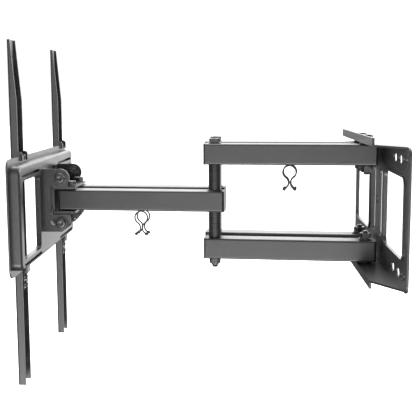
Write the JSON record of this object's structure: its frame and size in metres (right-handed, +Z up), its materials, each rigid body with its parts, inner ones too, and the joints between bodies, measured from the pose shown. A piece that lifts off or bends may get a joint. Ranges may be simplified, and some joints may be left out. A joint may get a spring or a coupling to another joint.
{
  "type": "full motion television wall mount",
  "caption": "Full motion television wall mount: a wall plate, two folding arms side by side, a tilting head, a television plate and two upright slotted rails.",
  "frame": {"origin": "centre of the wall plate's back face, on the wall", "axes": "+X into the wall, -X towards the television, +Z up, -Y towards the near side"},
  "size_m": [0.4703, 0.4095, 0.44],
  "materials": {
    "powder_coat": "semi-gloss black powder coat",
    "shaft": "satin black",
    "fastener": "black oxide",
    "clip_wire": "dipped black spring wire",
    "plastic": "matt black moulding",
    "bush": "nylon"
  },
  "bodies": {
    "wall_bracket": {"wall_plate": "powder_coat", "wall_pivot_bolts": "fastener", "wall_pivot_washers": "fastener", "wall_pivot_nuts": "fastener"},
    "near_rear_arm": {"near_rear_upper_tube": "powder_coat", "near_rear_lower_tube": "powder_coat", "near_rear_tube_caps": "plastic", "near_wall_pivot_bushes": "bush", "near_elbow_bolt": "fastener", "near_elbow_sleeves": "shaft", "near_elbow_washers": "fastener", "near_elbow_lock_nut": "fastener", "near_rear_cable_clip": "clip_wire"},
    "near_front_arm": {"near_front_tube": "powder_coat", "near_front_tube_caps": "plastic", "near_elbow_bushes": "bush", "near_head_bushes": "bush", "near_front_cable_clip": "clip_wire"},
    "far_rear_arm": {"far_rear_upper_tube": "powder_coat", "far_rear_lower_tube": "powder_coat", "far_rear_tube_caps": "plastic", "far_wall_pivot_bushes": "bush", "far_elbow_bolt": "fastener", "far_elbow_sleeves": "shaft", "far_elbow_washers": "fastener", "far_elbow_lock_nut": "fastener"},
    "far_front_arm": {"far_front_tube": "powder_coat", "far_front_tube_caps": "plastic", "far_elbow_bushes": "bush", "far_head_bushes": "bush"},
    "head": {"head_yoke": "powder_coat", "head_pivot_bolts": "fastener", "head_pivot_washers": "fastener", "head_pivot_nuts": "fastener", "tilt_pivot_bolts": "fastener", "tilt_lock_bolts": "fastener", "tilt_nuts": "fastener", "tilt_washers": "fastener", "tilt_friction_washers": "plastic"},
    "tv_bracket": {"tv_plate": "powder_coat", "near_tilt_plate": "powder_coat", "far_tilt_plate": "powder_coat", "tilt_plate_rivets": "fastener"},
    "near_rail_set": {"near_rail": "powder_coat", "near_rail_catch": "powder_coat", "near_rail_screws": "fastener"},
    "far_rail_set": {"far_rail": "powder_coat", "far_rail_catch": "powder_coat", "far_rail_screws": "fastener"}
  },
  "joints": [
    {"name": "near_arm_swing", "type": "hinge", "parent": "wall_bracket", "child": "near_rear_arm", "pos_m": [-0.0215, -0.0265, 0], "axis": [0, 0, 1], "range_deg": [0, 84]},
    {"name": "near_elbow", "type": "hinge", "parent": "near_rear_arm", "child": "near_front_arm", "pos_m": [-0.21643, -0.00601, 0], "axis": [0, 0, 1], "range_deg": [-168, 0]},
    {"name": "near_head_pivot", "type": "hinge", "parent": "near_front_arm", "child": "head", "pos_m": [-0.41135, 0.01448, 0], "axis": [0, 0, 1], "range_deg": [0, 84]},
    {"name": "far_arm_swing", "type": "hinge", "parent": "wall_bracket", "child": "far_rear_arm", "pos_m": [-0.0215, 0.0265, 0], "axis": [0, 0, 1], "range_deg": [-84, 0]},
    {"name": "far_elbow", "type": "hinge", "parent": "far_rear_arm", "child": "far_front_arm", "pos_m": [-0.21643, 0.04699, 0], "axis": [0, 0, 1], "range_deg": [0, 168]},
    {"name": "tilt", "type": "hinge", "parent": "head", "child": "tv_bracket", "pos_m": [-0.42135, 0.04097, 0.03], "axis": [0, 1, 0], "range_deg": [-10, 5]},
    {"name": "near_rail_slide", "type": "slide", "parent": "tv_bracket", "child": "near_rail_set", "axis": [0, 1, 0], "range_m": [-0.055, 0.012]},
    {"name": "far_rail_slide", "type": "slide", "parent": "tv_bracket", "child": "far_rail_set", "axis": [0, 1, 0], "range_m": [-0.07, 0]}
  ],
  "couplings": [
    {"joint": "near_elbow", "follows": "near_arm_swing", "ratio": -2},
    {"joint": "near_head_pivot", "follows": "near_arm_swing", "ratio": 1},
    {"joint": "far_arm_swing", "follows": "near_arm_swing", "ratio": -1},
    {"joint": "far_elbow", "follows": "near_arm_swing", "ratio": 2}
  ]
}
